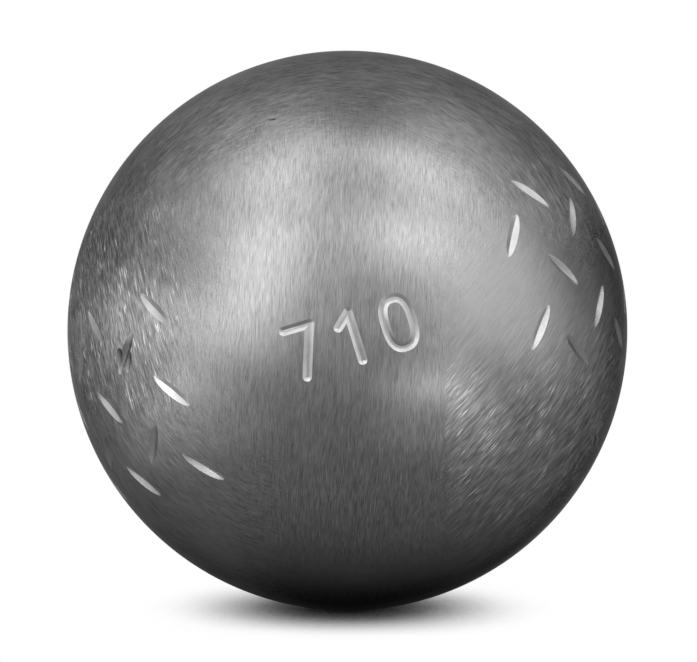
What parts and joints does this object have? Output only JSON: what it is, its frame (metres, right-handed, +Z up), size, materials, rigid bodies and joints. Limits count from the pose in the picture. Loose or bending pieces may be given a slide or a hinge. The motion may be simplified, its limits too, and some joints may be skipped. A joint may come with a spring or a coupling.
{
  "type": "petanque boule",
  "caption": "Hollow steel ball of two half shells welded rim to rim, brushed outside and milled with a slanted band of short notches.",
  "frame": {"origin": "middle of the ball", "axes": "+Z is up as the ball lies in the picture, and -Y points out of the marked side; the band's own axis is rolled 17 degrees and leant 3.5 degrees from +Z"},
  "size_m": [0.074, 0.074, 0.074],
  "materials": {
    "shell_steel": "fine hand-brushed carbon steel, semi-matt, with bright milled notches",
    "weld_steel": "turned flush with the shells and brushed with them"
  },
  "bodies": {
    "root": {"upper_half_shell": "shell_steel", "lower_half_shell": "shell_steel", "weld_seam": "weld_steel"}
  },
  "joints": []
}
